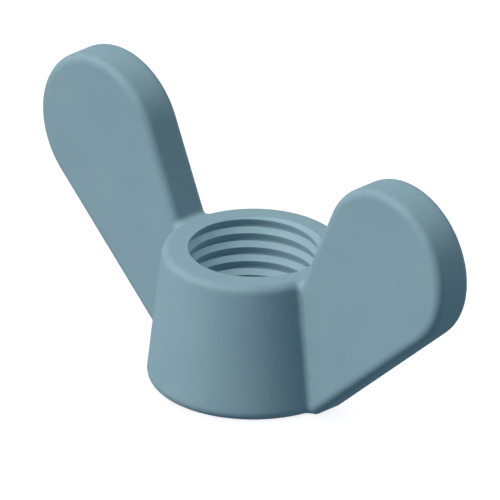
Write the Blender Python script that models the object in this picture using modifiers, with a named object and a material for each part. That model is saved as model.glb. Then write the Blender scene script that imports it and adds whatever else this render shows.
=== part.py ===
"""Wing nut with rounded wings: a conical hub, two wings and a right-hand thread, in one piece of metal.

The origin is the centre of the bearing face. +Z is the axis of the thread and the wings lie along X.
"""

import math

import bmesh
import bpy
from mathutils import Vector

MM = 0.001
TAU = 2 * math.pi

# Thread: 3/8-24 UNF, internal and right-handed. Its crests widen a little downwards, and the groove between
# them has a steep upper side, a flat bottom and a long lower side. A standard screw thread fits into it.
MAJOR_RADIUS = 9.525 / 2 * MM
PITCH = 25.4 / 24 * MM
CREST_TOP_RADIUS = 4.42 * MM
CREST_FOOT_RADIUS = 4.51 * MM
CREST_HEIGHT = 0.4 * MM
GROOVE_UPPER_SIDE = 0.11 * MM
GROOVE_BOTTOM = 0.2 * MM
THREAD_STEPS = 40
# Turns of thread beyond each face of the hub.
THREAD_OVERRUN = 2
# The turn about +Z that sets where the thread comes out of the top face.
THREAD_START = math.radians(124)

# Hub: a cone that widens down to its bearing face, with both rims rounded.
HUB_HEIGHT = 9.7 * MM
HUB_TOP_RADIUS = 6.2 * MM
HUB_BASE_RADIUS = 7.3 * MM
HUB_TOP_ROUND = 0.55 * MM
HUB_BASE_ROUND = 0.7 * MM
HUB_STEPS = 72

# Wings: a flat plate each, with a round lobe and two straight edges that run from it to the hub.
WING_THICKNESS = 2.95 * MM
WING_EDGE_ROUND = 0.6 * MM
LOBE_X = 14.1 * MM
LOBE_Z = 13.65 * MM
LOBE_RADIUS = 5.65 * MM
OUTER_FOOT_X = 7.35 * MM
INNER_FOOT_X = 6.15 * MM
ROOT_FILLET = 0.5 * MM
# The plates start this far from the axis, inside the hub's wall, and the thread is cut after they join it.
WING_START_X = 4.0 * MM

ARC_STEP = math.radians(7.5)
EDGE_ROUND_SEGMENTS = 3
# Surfaces that would lie in one plane are kept this far apart, so that they join cleanly.
JOIN_OFFSET = 0.02 * MM
WELD = 0.001 * MM
SAME_PLANE = math.radians(1)
SHARP_ANGLE = math.radians(30)
# Only the rims of the plates turn by more than this, so only they are rounded.
RIM_ANGLE = math.radians(60)


def clear_scene():
    for obj in list(bpy.data.objects):
        bpy.data.objects.remove(obj, do_unlink=True)


def new_collection(name):
    collection = bpy.data.collections.new(name)
    bpy.context.scene.collection.children.link(collection)
    return collection


def painted_metal():
    """Matte blue-grey coated metal."""
    material = bpy.data.materials.new("painted_metal")
    material.use_nodes = True
    shader = material.node_tree.nodes["Principled BSDF"]
    shader.inputs["Base Color"].default_value = (0.19, 0.31, 0.37, 1.0)
    shader.inputs["Metallic"].default_value = 0.2
    shader.inputs["Roughness"].default_value = 0.55
    return material


def arc(centre, radius, start, end):
    """Points along an arc, both ends included."""
    count = max(1, math.ceil(abs(end - start) / ARC_STEP))
    angles = (start + (end - start) * i / count for i in range(count + 1))
    return [centre + radius * Vector((math.cos(a), math.sin(a))) for a in angles]


def rounded_corner(before, corner, after, radius):
    """The arc of this radius that rounds a corner between two straight runs."""
    back = (before - corner).normalized()
    on = (after - corner).normalized()
    half = back.angle(on) / 2
    centre = corner + (back + on).normalized() * radius / math.sin(half)
    ends = (corner + back * radius / math.tan(half), corner + on * radius / math.tan(half))
    start, end = (math.atan2(*(point - centre).yx) for point in ends)
    sweep = (end - start + math.pi) % TAU - math.pi
    return arc(centre, radius, start, start + sweep)


def tangent_point(foot, centre, radius, side):
    """Where the line from foot touches the circle, which is on its left (side 1) or right (side -1)."""
    to_centre = centre - foot
    angle = math.atan2(to_centre.y, to_centre.x) - side * math.asin(radius / to_centre.length)
    reach = math.sqrt(to_centre.length_squared - radius**2)
    return foot + reach * Vector((math.cos(angle), math.sin(angle)))


def mesh_object(name, mesh, collection):
    obj = bpy.data.objects.new(name, mesh)
    collection.objects.link(obj)
    return obj


def as_cutter(obj):
    """Marks a helper that shapes the part and isn't a piece of it."""
    obj.hide_render = True
    obj.display_type = "WIRE"


def evaluated_copy(obj):
    """The object's mesh with its modifiers applied."""
    graph = bpy.context.evaluated_depsgraph_get()
    return bpy.data.meshes.new_from_object(obj.evaluated_get(graph))


def close_plate(mesh):
    """Welds the caps of an extruded outline and makes each of them one face, which a Bevel needs."""
    work = bmesh.new()
    work.from_mesh(mesh)
    bmesh.ops.remove_doubles(work, verts=work.verts, dist=WELD)
    bmesh.ops.dissolve_limit(work, verts=work.verts, edges=work.edges, angle_limit=SAME_PLANE)
    bmesh.ops.recalc_face_normals(work, faces=work.faces)
    work.to_mesh(mesh)
    work.free()


def profile_mesh(name, points):
    """A line of edges in the XZ plane, for a Screw modifier to turn."""
    mesh = bpy.data.meshes.new(name)
    edges = [(i, i + 1) for i in range(len(points) - 1)]
    mesh.from_pydata([(point.x, 0, point.y) for point in points], edges, [])
    return mesh


def hub_profile():
    """The hub's outer side from the axis at the top, down the cone and back to the axis at the base."""
    top_centre = Vector((0, HUB_HEIGHT))
    top_rim = Vector((HUB_TOP_RADIUS, HUB_HEIGHT))
    base_rim = Vector((HUB_BASE_RADIUS, 0))
    base_centre = Vector((0, 0))
    top_round = rounded_corner(top_centre, top_rim, base_rim, HUB_TOP_ROUND)
    base_round = rounded_corner(top_rim, base_rim, base_centre, HUB_BASE_ROUND)
    return [top_centre, *top_round, *base_round, base_centre]


def make_hub(name, collection):
    hub = mesh_object(name, profile_mesh(name, hub_profile()), collection)
    turn = hub.modifiers.new("Turn", "SCREW")
    turn.steps = HUB_STEPS
    turn.render_steps = HUB_STEPS
    turn.use_merge_vertices = True
    turn.merge_threshold = WELD
    turn.use_normal_calculate = True
    return hub


def wing_outline():
    """The +X wing's edge in the XZ plane, anticlockwise from its outer foot."""
    lobe = Vector((LOBE_X, LOBE_Z))
    outer_foot = Vector((OUTER_FOOT_X, JOIN_OFFSET))
    inner_foot = Vector((INNER_FOOT_X, HUB_HEIGHT - JOIN_OFFSET))
    outer_touch = tangent_point(outer_foot, lobe, LOBE_RADIUS, 1)
    inner_touch = tangent_point(inner_foot, lobe, LOBE_RADIUS, -1)
    start, end = (math.atan2(*(point - lobe).yx) for point in (outer_touch, inner_touch))
    lobe_arc = arc(lobe, LOBE_RADIUS, start, end % TAU)
    hub_top = Vector((WING_START_X, inner_foot.y))
    root = rounded_corner(inner_touch, inner_foot, hub_top, ROOT_FILLET)
    hub_bottom = Vector((WING_START_X, outer_foot.y))
    return [outer_foot, *lobe_arc, *root, hub_top, hub_bottom]


def make_wings(name, collection):
    """Both wings as plates with rounded edges, in one object."""
    curve = bpy.data.curves.new(name, "CURVE")
    curve.dimensions = "2D"
    curve.fill_mode = "BOTH"
    curve.extrude = WING_THICKNESS / 2
    outline = wing_outline()
    spline = curve.splines.new("POLY")
    spline.points.add(len(outline) - 1)
    for point, place in zip(spline.points, outline):
        point.co = (place.x, place.y, 0, 1)
    spline.use_cyclic_u = True
    flat = mesh_object(name + "_outline", curve, collection)
    mesh = evaluated_copy(flat)
    bpy.data.objects.remove(flat, do_unlink=True)
    close_plate(mesh)
    wings = mesh_object(name, mesh, collection)
    wings.rotation_euler.x = math.radians(90)
    rounding = wings.modifiers.new("Round edges", "BEVEL")
    rounding.width = WING_EDGE_ROUND
    rounding.segments = EDGE_ROUND_SEGMENTS
    rounding.use_clamp_overlap = False
    rounding.limit_method = "ANGLE"
    rounding.angle_limit = RIM_ANGLE
    mirror = wings.modifiers.new("Second wing", "MIRROR")
    mirror.use_mirror_merge = False
    as_cutter(wings)
    return wings


def thread_profile():
    """One pitch of the thread, from the top down: the crest, then the groove's three sides."""
    groove_top = CREST_HEIGHT + GROOVE_UPPER_SIDE
    stops = [
        (CREST_TOP_RADIUS, 0),
        (CREST_FOOT_RADIUS, CREST_HEIGHT),
        (MAJOR_RADIUS, groove_top),
        (MAJOR_RADIUS, groove_top + GROOVE_BOTTOM),
        (CREST_TOP_RADIUS, PITCH),
    ]
    return [Vector((radius, -depth)) for radius, depth in stops]


def close_ends(mesh):
    """Closes each open end of a threaded rod with a fan of faces to a point on its axis."""
    work = bmesh.new()
    work.from_mesh(mesh)
    bmesh.ops.remove_doubles(work, verts=work.verts, dist=WELD)
    open_edges = [edge for edge in work.edges if edge.is_boundary]
    middle = sum(vertex.co.z for vertex in work.verts) / len(work.verts)
    for upper in (True, False):
        rim = [edge for edge in open_edges if (edge.verts[0].co.z > middle) == upper]
        height = sum(edge.verts[0].co.z for edge in rim) / len(rim)
        hub_point = work.verts.new((0, 0, height))
        for edge in rim:
            work.faces.new((*edge.verts, hub_point))
    bmesh.ops.recalc_face_normals(work, faces=work.faces)
    work.to_mesh(mesh)
    work.free()


def make_thread_cutter(name, collection):
    """A threaded rod that is longer than the hub at both ends."""
    turns = math.ceil(HUB_HEIGHT / PITCH) + 2 * THREAD_OVERRUN
    rod = mesh_object(name, profile_mesh(name, thread_profile()), collection)
    winding = rod.modifiers.new("Wind", "SCREW")
    winding.screw_offset = PITCH
    winding.iterations = turns
    winding.steps = THREAD_STEPS
    winding.render_steps = THREAD_STEPS
    mesh = evaluated_copy(rod)
    bpy.data.objects.remove(rod, do_unlink=True)
    close_ends(mesh)
    cutter = mesh_object(name, mesh, collection)
    cutter.location.z = -THREAD_OVERRUN * PITCH
    cutter.rotation_euler.z = THREAD_START
    as_cutter(cutter)
    return cutter


def boolean(obj, operation, other):
    step = obj.modifiers.new(f"{operation.title()} {other.name}", "BOOLEAN")
    step.operation = operation
    step.object = other
    step.solver = "EXACT"


def main():
    clear_scene()
    parts = new_collection("Wing nut")
    helpers = new_collection("Cutters")
    nut = make_hub("wing_nut", parts)
    boolean(nut, "UNION", make_wings("wings", helpers))
    boolean(nut, "DIFFERENCE", make_thread_cutter("thread", helpers))
    nut.data.materials.append(painted_metal())
    nut.data.shade_smooth()
    nut.data.set_sharp_from_angle(angle=SHARP_ANGLE)


main()
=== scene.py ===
import math

import bmesh
import bpy
import numpy as np
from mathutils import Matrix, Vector


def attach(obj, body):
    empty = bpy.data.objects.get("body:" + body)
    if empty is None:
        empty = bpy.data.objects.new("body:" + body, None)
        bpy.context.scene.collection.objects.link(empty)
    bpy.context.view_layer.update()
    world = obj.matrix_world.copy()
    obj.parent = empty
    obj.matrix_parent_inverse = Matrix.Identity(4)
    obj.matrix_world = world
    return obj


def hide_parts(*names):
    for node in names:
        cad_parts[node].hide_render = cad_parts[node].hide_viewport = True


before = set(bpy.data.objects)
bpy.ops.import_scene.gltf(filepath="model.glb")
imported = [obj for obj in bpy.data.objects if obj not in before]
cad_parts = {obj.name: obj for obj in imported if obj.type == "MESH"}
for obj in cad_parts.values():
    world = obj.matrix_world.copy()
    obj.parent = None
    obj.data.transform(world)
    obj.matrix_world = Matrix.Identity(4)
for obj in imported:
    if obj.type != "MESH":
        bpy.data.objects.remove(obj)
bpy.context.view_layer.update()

# Lengths here are in millimetres until a mesh is made, and the dimensions are those of the CAD part.
MM = 0.001
TAU = 2 * math.pi
NODE = "wing_nut"

MAJOR_RADIUS = 9.525 / 2
PITCH = 25.4 / 24
CREST_TOP_RADIUS = 4.42
CREST_FOOT_RADIUS = 4.51
CREST_HEIGHT = 0.4
GROOVE_UPPER_SIDE = 0.11
GROOVE_BOTTOM = 0.2
THREAD_ROUND = 0.03
THREAD_START = math.radians(124)
THREAD_STEPS = 144
THREAD_ARC_STEP = math.radians(15)
# Turns of thread beyond each face of the hub.
THREAD_OVERRUN = 2

HUB_HEIGHT = 9.7
HUB_TOP_RADIUS = 6.2
HUB_BASE_RADIUS = 7.3
HUB_TOP_ROUND = 0.55
HUB_BASE_ROUND = 0.7

WING_THICKNESS = 2.95
WING_EDGE_ROUND = 0.6
FOOT_ROUND = 0.12
LOBE = np.array((14.1, 13.65))
LOBE_RADIUS = 5.65
OUTER_FOOT = np.array((7.35, 0.0))
INNER_FOOT = np.array((6.15, HUB_HEIGHT))
SIDE_FILLET = 0.3
TOP_FILLET = 0.5
# The fillet widens from the one to the other over this height below the top of the hub.
FILLET_BLEND = 1.5

# The fine mesh of the body: the size of its cells, and how it is evened out.
CELL = 0.17
RELAX_ROUNDS = 6
SETTLE_ROUNDS = 3
PROBE = 0.01
WELD = 0.001
SHARP_ANGLE = math.radians(25)

# The finish follows how much the skin curves, in radians for each millimetre, and where light is painted onto
# the thread.
CURVATURE = "curvature"
CURVATURE_STEP = 0.1
SKIN_DEPTH = 0.05
PAINTED_THREAD_LIGHT = "painted_thread_light"
# The side of the hole where the painted light on the thread is strongest, as an angle from +X, and how near a
# mouth it ends.
PAINTED_LIGHT_SIDE = math.radians(175)
MOUTH_MARGIN = 0.001

# The coating's variation, each as its size in millimetres and its detail.
CLOUD = (4.0, 3.0)
BLOTCH = (1.1, 4.0)
PEEL = (0.24, 2.0)
SPECK = (0.07, 1.0)
# Each of these turns a range of noise or curvature into a range of amounts: start, end, low, high.
CLOUDS = (0.3, 0.7, 0.0, 1.0)
RIMS = (0.5, 1.5, 0.0, 1.0)
FILLETS = (-1.6, -0.5, 1.0, 0.0)
# Patches where painted shade darkens the rims.
RIM_SHADE_PATCHES = (0.4, 0.6, 0.02, 0.18)
# Patches where the fillets are darker.
FILLET_DARK_PATCHES = (0.35, 0.6, 0.5, 0.15)
# Patches of painted light on the thread's upward sides.
PAINTED_LIGHT_PATCHES = (0.3, 0.6, 0.75, 1.0)
PEEL_SHADE = (0.3, 0.7, 0.975, 1.025)
SPECK_SHADE = (0.3, 0.7, 0.98, 1.02)
ROUGHNESS = (0.3, 0.7, 0.62, 0.74)
RIM_POLISH = 0.5
DEEP_TONE = (0.186, 0.301, 0.359, 1.0)
PALE_TONE = (0.202, 0.319, 0.375, 1.0)
# Painted shade on the rims, which tones down their highlight.
RIM_SHADE_TONE = (0.125, 0.205, 0.25, 1.0)
# The darker tone in the fillets.
FILLET_DARK_TONE = (0.125, 0.215, 0.265, 1.0)
# Painted light on the thread's upward sides.
PAINTED_LIGHT_TONE = (0.285, 0.46, 0.55, 1.0)
SPECULAR = 0.25
SPECK_RELIEF = 0.3
BUMP_STRENGTH = 0.1
BUMP_DEPTH = 0.03

# The stage, in metres and degrees. Azimuth 0 is in front of the wings, and it turns towards +X.
FLOOR_SIDE = 4.0
FLOOR_GAP = 0.00002
FLOOR_COLOUR = (0.92, 0.95, 1.0, 1.0)
CAMERA_AZIMUTH = 46.78
CAMERA_ELEVATION = 26.74
CAMERA_DISTANCE = 1.55
VIEW_WIDTH = 0.03389
AIM_HEIGHT = 0.009457
AIM_RIGHT = -0.000227
SENSOR_WIDTH = 36.0
CLIP = (0.01, 10.0)
# Each lamp's azimuth, elevation, strength, softness and colour.
KEY_LIGHT = (-27.8, 44.6, 3.72, 20, (1.0, 0.915, 0.85))
RIM_LIGHT = (176, 15, 0.65, 30, (1.0, 1.0, 1.0))
# Fill light from above the horizon and, through the floor, from below it.
UPPER_SKY = (0.325, 0.38, 0.405)
LOWER_SKY = (0.21, 0.29, 0.35)
HORIZON_BLUR = 0.15


def unit(vector):
    return vector / np.linalg.norm(vector)


def cross(a, b):
    """The third component of the cross product of plane vectors."""
    return a[..., 0] * b[..., 1] - a[..., 1] * b[..., 0]


def rounded_and(a, b, radius):
    """Distance to what two shapes have in common, with the edge between them rounded."""
    near = np.hypot(np.maximum(a + radius, 0), np.maximum(b + radius, 0))
    return np.minimum(np.maximum(a, b), -radius) + near


def filleted_or(a, b, radius):
    """Distance to two shapes joined, with a fillet in the corner between them."""
    near = np.hypot(np.maximum(radius - a, 0), np.maximum(radius - b, 0))
    return np.maximum(np.minimum(a, b), radius) - near


def hub_distance(points):
    """The cone, with its rims rounded and no hole in it."""
    side_normal = unit(np.array((HUB_HEIGHT, HUB_BASE_RADIUS - HUB_TOP_RADIUS)))
    across = np.hypot(points[..., 0], points[..., 1]) - HUB_BASE_RADIUS
    side = side_normal[0] * across + side_normal[1] * points[..., 2]
    capped = rounded_and(side, points[..., 2] - HUB_HEIGHT, HUB_TOP_ROUND)
    return rounded_and(capped, -points[..., 2], HUB_BASE_ROUND)


def tangent_normal(foot, side):
    """Outward normal of the line from foot that touches the lobe, which is on its left (1) or right (-1)."""
    to_lobe = LOBE - foot
    reach = np.linalg.norm(to_lobe)
    angle = math.atan2(to_lobe[1], to_lobe[0]) - side * math.asin(LOBE_RADIUS / reach)
    return side * np.array((math.sin(angle), -math.cos(angle)))


def wing_distance(points):
    """Both wings without fillets: the lobe and the straight edges that touch it, cut off at the base."""
    from_lobe = np.stack((np.abs(points[..., 0]), points[..., 2]), axis=-1) - LOBE
    outer = tangent_normal(OUTER_FOOT, 1)
    inner = tangent_normal(INNER_FOOT, -1)
    straight = np.maximum(from_lobe @ outer, from_lobe @ inner)
    towards_hub = (cross(inner, from_lobe) > 0) & (cross(from_lobe, outer) > 0)
    outline = np.where(towards_hub, straight, np.hypot(from_lobe[..., 0], from_lobe[..., 1])) - LOBE_RADIUS
    outline = rounded_and(outline, -points[..., 2], FOOT_ROUND)
    return rounded_and(outline, np.abs(points[..., 1]) - WING_THICKNESS / 2, WING_EDGE_ROUND)


def body_distance(points):
    rise = (points[..., 2] - HUB_HEIGHT) / FILLET_BLEND + 1
    fillet = SIDE_FILLET + (TOP_FILLET - SIDE_FILLET) * np.clip(rise, 0, 1)
    joined = filleted_or(hub_distance(points), wing_distance(points), fillet)
    # The bearing face stays flat.
    return np.maximum(joined, -points[..., 2])


def settled(points, distance):
    """The points moved onto the surface along its normal."""
    for _ in range(SETTLE_ROUNDS):
        steps = PROBE * np.eye(3)
        slope = [distance(points + step) - distance(points - step) for step in steps]
        slope = np.stack(slope, axis=-1) / (2 * PROBE)
        share = distance(points) / np.sum(slope**2, axis=-1)
        points = points - share[:, None] * slope
    return points


def relaxed(points, quads):
    """Each point moved to the middle of its neighbours, which evens out the mesh."""
    starts = quads.reshape(-1)
    ends = np.roll(quads, -1, axis=1).reshape(-1)
    total = np.zeros_like(points)
    np.add.at(total, starts, points[ends])
    np.add.at(total, ends, points[starts])
    count = np.bincount(starts, minlength=len(points)) + np.bincount(ends, minlength=len(points))
    return total / count[:, None]


def surface_net(distance, low, high):
    """Points and quads of a closed surface, with one point in each cell of a grid that it crosses."""
    lines = [np.arange(start, end + CELL, CELL) for start, end in zip(low, high)]
    grid = np.stack(np.meshgrid(*lines, indexing="ij"), axis=-1)
    inside = distance(grid) < 0
    cells = tuple(length - 1 for length in inside.shape)
    corners = np.zeros(cells, int)
    for i, j, k in np.ndindex(2, 2, 2):
        corners += inside[i : i + cells[0], j : j + cells[1], k : k + cells[2]]
    crossed = (corners > 0) & (corners < 8)
    index = np.full(cells, -1)
    index[crossed] = np.arange(crossed.sum())
    quads = []
    for axis in range(3):
        # This axis comes first and the other two after it in turn, so that every ring turns the same way.
        turn = (axis, (axis + 1) % 3, (axis + 2) % 3)
        solid, point = inside.transpose(turn), index.transpose(turn)
        for near, far, order in ((solid[:-1], solid[1:], 1), (solid[1:], solid[:-1], -1)):
            a, b, c = np.nonzero((near & ~far)[:, 1:-1, 1:-1])
            ring = [point[a, b + 1, c + 1], point[a, b, c + 1], point[a, b, c], point[a, b + 1, c]]
            quads.append(np.stack(ring[::order], axis=-1))
    return grid[:-1, :-1, :-1][crossed] + CELL / 2, np.concatenate(quads)


def body_mesh():
    """The hub and wings as one smooth skin with no hole."""
    margin = 3 * CELL
    reach = LOBE[0] + LOBE_RADIUS + margin
    depth = HUB_BASE_RADIUS + margin
    height = LOBE[1] + LOBE_RADIUS + margin
    points, quads = surface_net(body_distance, (-reach, -depth, -margin), (reach, depth, height))
    for _ in range(RELAX_ROUNDS):
        points = settled(relaxed(points, quads), body_distance)
    mesh = bpy.data.meshes.new("body")
    mesh.from_pydata((points * MM).tolist(), [], quads.tolist())
    return mesh


def rounded_corner(before, corner, after, radius):
    """The arc of this radius that rounds a corner between two straight runs."""
    back = (before - corner).normalized()
    on = (after - corner).normalized()
    half = back.angle(on) / 2
    centre = corner + (back + on).normalized() * radius / math.sin(half)
    start, end = (math.atan2(*(corner + side * radius / math.tan(half) - centre).yx) for side in (back, on))
    sweep = (end - start + math.pi) % TAU - math.pi
    count = math.ceil(abs(sweep) / THREAD_ARC_STEP)
    angles = (start + sweep * i / count for i in range(count + 1))
    return [centre + radius * Vector((math.cos(angle), math.sin(angle))) for angle in angles]


def thread_profile():
    """One pitch of the thread as (radius, height), from the middle of a crest down to the middle of the next.

    Height 0 is the first crest's upper edge. Every corner is a little rounded.
    """
    pitch = Vector((0, PITCH))
    crest_top = Vector((CREST_TOP_RADIUS, 0))
    crest_foot = Vector((CREST_FOOT_RADIUS, -CREST_HEIGHT))
    groove_top = Vector((MAJOR_RADIUS, -CREST_HEIGHT - GROOVE_UPPER_SIDE))
    groove_foot = groove_top - Vector((0, GROOVE_BOTTOM))
    start = (crest_top + crest_foot) / 2
    stops = [start, crest_foot, groove_top, groove_foot, crest_top - pitch, start - pitch]
    profile = [start]
    for before, corner, after in zip(stops, stops[1:], stops[2:]):
        profile += rounded_corner(before, corner, after, THREAD_ROUND)
    return [*profile, start - pitch]


def new_object(name, mesh):
    obj = bpy.data.objects.new(name, mesh)
    bpy.context.scene.collection.objects.link(obj)
    return obj


def applied(obj):
    """The object's mesh with its modifiers applied. The object is removed."""
    graph = bpy.context.evaluated_depsgraph_get()
    mesh = bpy.data.meshes.new_from_object(obj.evaluated_get(graph))
    bpy.data.objects.remove(obj, do_unlink=True)
    return mesh


def closed_ends(mesh):
    """Closes each open end of a threaded rod with a fan of faces to a point on its axis."""
    work = bmesh.new()
    work.from_mesh(mesh)
    bmesh.ops.remove_doubles(work, verts=work.verts, dist=WELD * MM)
    open_edges = [edge for edge in work.edges if edge.is_boundary]
    middle = sum(vertex.co.z for vertex in work.verts) / len(work.verts)
    for upper in (True, False):
        rim = [edge for edge in open_edges if (edge.verts[0].co.z > middle) == upper]
        height = sum(edge.verts[0].co.z for edge in rim) / len(rim)
        centre = work.verts.new((0, 0, height))
        for edge in rim:
            work.faces.new((*edge.verts, centre))
    bmesh.ops.recalc_face_normals(work, faces=work.faces)
    work.to_mesh(mesh)
    work.free()


def thread_cutter():
    """A threaded rod that is longer than the hub at both ends."""
    profile = thread_profile()
    line = bpy.data.meshes.new("thread")
    edges = [(i, i + 1) for i in range(len(profile) - 1)]
    line.from_pydata([(point.x * MM, 0, point.y * MM) for point in profile], edges, [])
    rod = new_object("thread_line", line)
    winding = rod.modifiers.new("Wind", "SCREW")
    winding.screw_offset = PITCH * MM
    winding.iterations = math.ceil(HUB_HEIGHT / PITCH) + 2 * THREAD_OVERRUN
    winding.steps = winding.render_steps = THREAD_STEPS
    mesh = applied(rod)
    closed_ends(mesh)
    cutter = new_object("thread_cutter", mesh)
    cutter.location.z = -THREAD_OVERRUN * PITCH * MM
    cutter.rotation_euler.z = THREAD_START
    return cutter


def add_curvature(mesh):
    """Stores how much the skin curves at each vertex: above 0 on rims, below 0 in fillets."""
    points = np.empty(3 * len(mesh.vertices))
    mesh.vertices.foreach_get("co", points)
    points = points.reshape(-1, 3) / MM
    here = body_distance(points)
    steps = CURVATURE_STEP * np.eye(3)
    around = sum(body_distance(points + step) + body_distance(points - step) for step in steps)
    curvature = (around - 2 * len(steps) * here) / CURVATURE_STEP**2
    curvature[np.abs(here) > SKIN_DEPTH] = 0
    mesh.attributes.new(CURVATURE, "FLOAT", "POINT").data.foreach_set("value", curvature)


def add_painted_thread_light(mesh):
    """Marks the thread's upward sides, where light is painted, most of all on one side of the hole."""
    middles = np.empty(3 * len(mesh.polygons))
    mesh.polygons.foreach_get("center", middles)
    x, y, z = middles.reshape(-1, 3).T / MM
    angle = np.arctan2(y, x)
    below_crest = ((angle - THREAD_START) / TAU * PITCH - z) % PITCH
    in_thread = (np.hypot(x, y) < MAJOR_RADIUS) & (z > MOUTH_MARGIN) & (z < HUB_HEIGHT - MOUTH_MARGIN)
    side = below_crest > CREST_HEIGHT + GROOVE_UPPER_SIDE + GROOVE_BOTTOM
    # Painted light, strongest on one side of the hole.
    lit_share = (in_thread & side) * ((1 + np.cos(angle - PAINTED_LIGHT_SIDE)) / 2) ** 2
    mesh.attributes.new(PAINTED_THREAD_LIGHT, "FLOAT", "FACE").data.foreach_set("value", lit_share)


def make_nut():
    """The whole wing nut as one fine mesh: the body's skin with the thread cut through it."""
    nut = new_object("wing_nut_body", body_mesh())
    cutter = thread_cutter()
    cut = nut.modifiers.new("Thread", "BOOLEAN")
    cut.operation = "DIFFERENCE"
    cut.object = cutter
    cut.solver = "EXACT"
    mesh = applied(nut)
    bpy.data.objects.remove(cutter, do_unlink=True)
    mesh.shade_smooth()
    mesh.set_sharp_from_angle(angle=SHARP_ANGLE)
    add_curvature(mesh)
    add_painted_thread_light(mesh)
    return new_object("wing_nut_finish", mesh)


def node(tree, kind, inputs=None, **settings):
    """A new shader node with its settings, and its inputs set to values or linked to outputs."""
    made = tree.nodes.new(kind)
    for name, value in settings.items():
        setattr(made, name, value)
    for name, value in (inputs or {}).items():
        if isinstance(value, bpy.types.NodeSocket):
            tree.links.new(value, made.inputs[name])
        else:
            made.inputs[name].default_value = value
    return made


def noise(tree, place, size, detail):
    """Noise whose features are about this many millimetres across."""
    inputs = {"Vector": place, "Scale": 1 / (size * MM), "Detail": detail}
    return node(tree, "ShaderNodeTexNoise", inputs).outputs["Fac"]


def ramp(tree, value, start, end, low, high):
    """The value mapped from start..end to low..high, and held there beyond."""
    span = {"Value": value, "From Min": start, "From Max": end, "To Min": low, "To Max": high}
    return node(tree, "ShaderNodeMapRange", span).outputs["Result"]


def maths(tree, operation, a, b):
    return node(tree, "ShaderNodeMath", {0: a, 1: b}, operation=operation).outputs["Value"]


def blend(tree, factor, a, b):
    """Colour a turning to colour b as the factor goes from 0 to 1."""
    made = node(tree, "ShaderNodeMix", data_type="RGBA")
    for socket, value in ((made.inputs[0], factor), (made.inputs[6], a), (made.inputs[7], b)):
        if isinstance(value, bpy.types.NodeSocket):
            tree.links.new(value, socket)
        else:
            socket.default_value = value
    return made.outputs[2]


def coating():
    """Matte blue-grey coating on cast metal: fine and even, a little darker on the rims, which is painted
    shade that tones down their highlight, and smoother there; darker in the fillets; lighter on the thread's
    upward sides, which is painted light.
    """
    material = bpy.data.materials.new("matte_coating")
    material.use_nodes = True
    tree = material.node_tree
    shader = tree.nodes["Principled BSDF"]
    shader.inputs["Metallic"].default_value = 0.0
    shader.inputs["Specular IOR Level"].default_value = SPECULAR
    place = node(tree, "ShaderNodeTexCoord").outputs["Object"]
    cloud = noise(tree, place, *CLOUD)
    blotch = noise(tree, place, *BLOTCH)
    peel = noise(tree, place, *PEEL)
    speck = noise(tree, place, *SPECK)
    curvature = node(tree, "ShaderNodeAttribute", attribute_name=CURVATURE).outputs["Fac"]
    painted_thread_light = node(tree, "ShaderNodeAttribute", attribute_name=PAINTED_THREAD_LIGHT).outputs["Fac"]

    # The rims are darker in patches, which is painted shade that tones down their highlight, and smoother
    # there.
    rim_shade_and_polish = maths(tree, "MULTIPLY", ramp(tree, curvature, *RIMS), ramp(tree, blotch, *RIM_SHADE_PATCHES))
    # The fillets are darker in patches.
    fillet_dark = maths(tree, "MULTIPLY", ramp(tree, curvature, *FILLETS), ramp(tree, blotch, *FILLET_DARK_PATCHES))
    # Painted light: the thread's upward sides are lighter in patches.
    thread_light = maths(tree, "MULTIPLY", painted_thread_light, ramp(tree, blotch, *PAINTED_LIGHT_PATCHES))

    tone = blend(tree, ramp(tree, cloud, *CLOUDS), DEEP_TONE, PALE_TONE)
    # Painted shade on the rims.
    tone = blend(tree, rim_shade_and_polish, tone, RIM_SHADE_TONE)
    # Darker in the fillets.
    tone = blend(tree, fillet_dark, tone, FILLET_DARK_TONE)
    # Painted light on the thread's upward sides.
    tone = blend(tree, thread_light, tone, PAINTED_LIGHT_TONE)
    shade = maths(tree, "MULTIPLY", ramp(tree, peel, *PEEL_SHADE), ramp(tree, speck, *SPECK_SHADE))
    colour = node(tree, "ShaderNodeVectorMath", {0: tone, 1: shade}, operation="MULTIPLY").outputs["Vector"]
    tree.links.new(colour, shader.inputs["Base Color"])

    polish = maths(tree, "MULTIPLY", rim_shade_and_polish, RIM_POLISH)
    rough = maths(tree, "SUBTRACT", ramp(tree, blotch, *ROUGHNESS), polish)
    tree.links.new(rough, shader.inputs["Roughness"])

    relief = maths(tree, "ADD", peel, maths(tree, "MULTIPLY", speck, SPECK_RELIEF))
    grain = {"Height": relief, "Strength": BUMP_STRENGTH, "Distance": BUMP_DEPTH * MM}
    bump = node(tree, "ShaderNodeBump", grain)
    tree.links.new(bump.outputs["Normal"], shader.inputs["Normal"])
    return material


def pale_floor():
    mesh = bpy.data.meshes.new("floor")
    side = FLOOR_SIDE / 2
    corners = [(-side, -side, 0), (side, -side, 0), (side, side, 0), (-side, side, 0)]
    mesh.from_pydata(corners, [], [(0, 1, 2, 3)])
    floor = new_object("floor", mesh)
    floor.location.z = -FLOOR_GAP
    material = bpy.data.materials.new("pale_floor")
    material.use_nodes = True
    shader = material.node_tree.nodes["Principled BSDF"]
    shader.inputs["Base Color"].default_value = FLOOR_COLOUR
    shader.inputs["Roughness"].default_value = 1.0
    shader.inputs["Specular IOR Level"].default_value = 0.0
    mesh.materials.append(material)
    # The floor shows to the camera, and sends no light back up to the object.
    floor.visible_diffuse = False
    floor.visible_glossy = False


def direction(azimuth, elevation):
    """The unit vector towards a place on the sky, with azimuth 0 in front and turning towards +X."""
    azimuth, elevation = math.radians(azimuth), math.radians(elevation)
    flat = math.cos(elevation)
    return Vector((math.sin(azimuth) * flat, -math.cos(azimuth) * flat, math.sin(elevation)))


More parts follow.
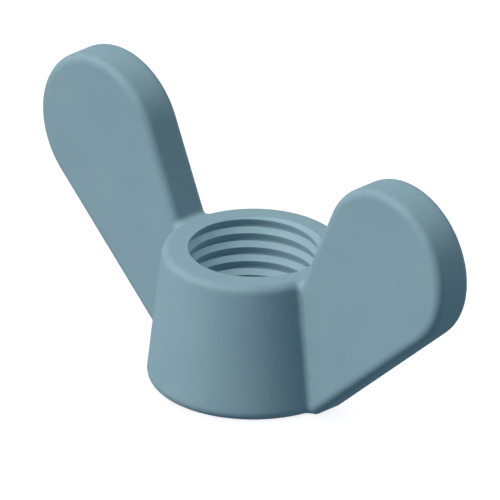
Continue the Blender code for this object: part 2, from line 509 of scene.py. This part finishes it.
def sun(name, azimuth, elevation, strength, softness, colour):
    """A broad, soft lamp that is far away. It casts no shadow, as when light comes from all round."""
    light = bpy.data.lights.new(name, "SUN")
    light.energy = strength
    light.angle = math.radians(softness)
    light.color = colour
    light.use_shadow = False
    lamp = bpy.data.objects.new(name, light)
    bpy.context.scene.collection.objects.link(lamp)
    lamp.rotation_euler = direction(azimuth, elevation).to_track_quat("Z", "Y").to_euler()


def sky():
    """Soft fill light that is weaker from below, and a white backdrop for the camera."""
    world = bpy.data.worlds.new("studio")
    bpy.context.scene.world = world
    world.use_nodes = True
    tree = world.node_tree
    tree.nodes.clear()
    aim = node(tree, "ShaderNodeTexCoord").outputs["Generated"]
    height = node(tree, "ShaderNodeSeparateXYZ", {0: aim}).outputs["Z"]
    above = ramp(tree, height, -HORIZON_BLUR, HORIZON_BLUR, 0.0, 1.0)
    colour = blend(tree, above, (*LOWER_SKY, 1.0), (*UPPER_SKY, 1.0))
    fill = node(tree, "ShaderNodeBackground", {"Color": colour, "Strength": 1.0})
    backdrop = node(tree, "ShaderNodeBackground", {"Color": (1.0, 1.0, 1.0, 1.0), "Strength": 1.0})
    to_camera = node(tree, "ShaderNodeLightPath").outputs["Is Camera Ray"]
    mix = node(tree, "ShaderNodeMixShader", {0: to_camera, 1: fill.outputs[0], 2: backdrop.outputs[0]})
    node(tree, "ShaderNodeOutputWorld", {"Surface": mix.outputs[0]})


def camera():
    """A long lens, so that the view is close to parallel. The picture is VIEW_WIDTH wide at the target."""
    data = bpy.data.cameras.new("camera")
    eye = bpy.data.objects.new("camera", data)
    bpy.context.scene.collection.objects.link(eye)
    bpy.context.scene.camera = eye
    data.sensor_width = SENSOR_WIDTH
    data.lens = SENSOR_WIDTH * CAMERA_DISTANCE / VIEW_WIDTH
    data.clip_start, data.clip_end = CLIP
    back = direction(CAMERA_AZIMUTH, CAMERA_ELEVATION)
    turn = back.to_track_quat("Z", "Y")
    aim = Vector((0, 0, AIM_HEIGHT)) + turn @ Vector((AIM_RIGHT, 0, 0))
    eye.location = aim + back * CAMERA_DISTANCE
    eye.rotation_euler = turn.to_euler()


def main():
    nut = make_nut()
    nut.data.materials.append(coating())
    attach(nut, "root")
    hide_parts(NODE)
    pale_floor()
    sky()
    sun("key", *KEY_LIGHT)
    sun("rim", *RIM_LIGHT)
    camera()
    bpy.context.scene.view_settings.view_transform = "Standard"


main()
